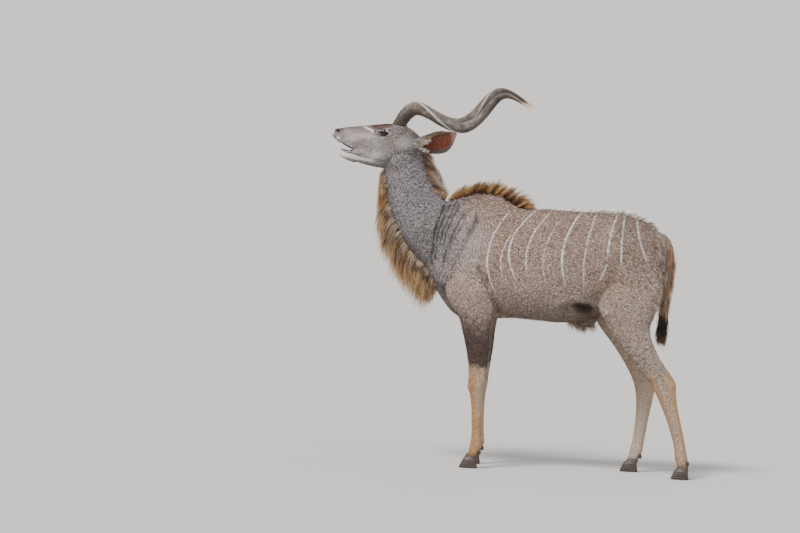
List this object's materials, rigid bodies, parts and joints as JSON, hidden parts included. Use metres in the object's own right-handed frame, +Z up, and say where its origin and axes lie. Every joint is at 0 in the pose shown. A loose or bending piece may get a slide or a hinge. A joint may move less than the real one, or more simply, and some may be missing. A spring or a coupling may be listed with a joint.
{
  "type": "greater kudu",
  "caption": "Life-size standing kudu bull with raised head, long spiral horns, throat fringe, short mane and pale flank stripes",
  "frame": {"origin": "on the ground under the middle of the whole animal's box", "axes": "+Z up, the bull faces -X, its left side is -Y"},
  "size_m": [1.868, 0.5765, 1.8888],
  "materials": {
    "coat": "short grey-brown coat with thin white flank stripes, grey neck, hair mane and fringe",
    "ear": "thin haired skin, reddish inside, white hair at the edge",
    "leg": "short tan hair, dark on the upper foreleg",
    "horn": "horn sheath, ridged at the root, smoother and paler to the tip",
    "hoof": "dark horny hoof",
    "eye": "wet dark eye"
  },
  "bodies": {
    "root": {"torso": "coat", "neck": "coat", "head": "coat", "tail": "coat", "horn_left": "horn", "horn_right": "horn", "ear_left": "ear", "ear_right": "ear", "eye_left": "eye", "eye_right": "eye", "foreleg_left_upper": "leg", "foreleg_left_lower": "leg", "hindleg_left_upper": "leg", "hindleg_left_lower": "leg", "hoof_fore_left": "hoof", "hoof_hind_left": "hoof", "foreleg_right_upper": "leg", "foreleg_right_lower": "leg", "hindleg_right_upper": "leg", "hindleg_right_lower": "leg", "hoof_fore_right": "hoof", "hoof_hind_right": "hoof"}
  },
  "joints": []
}
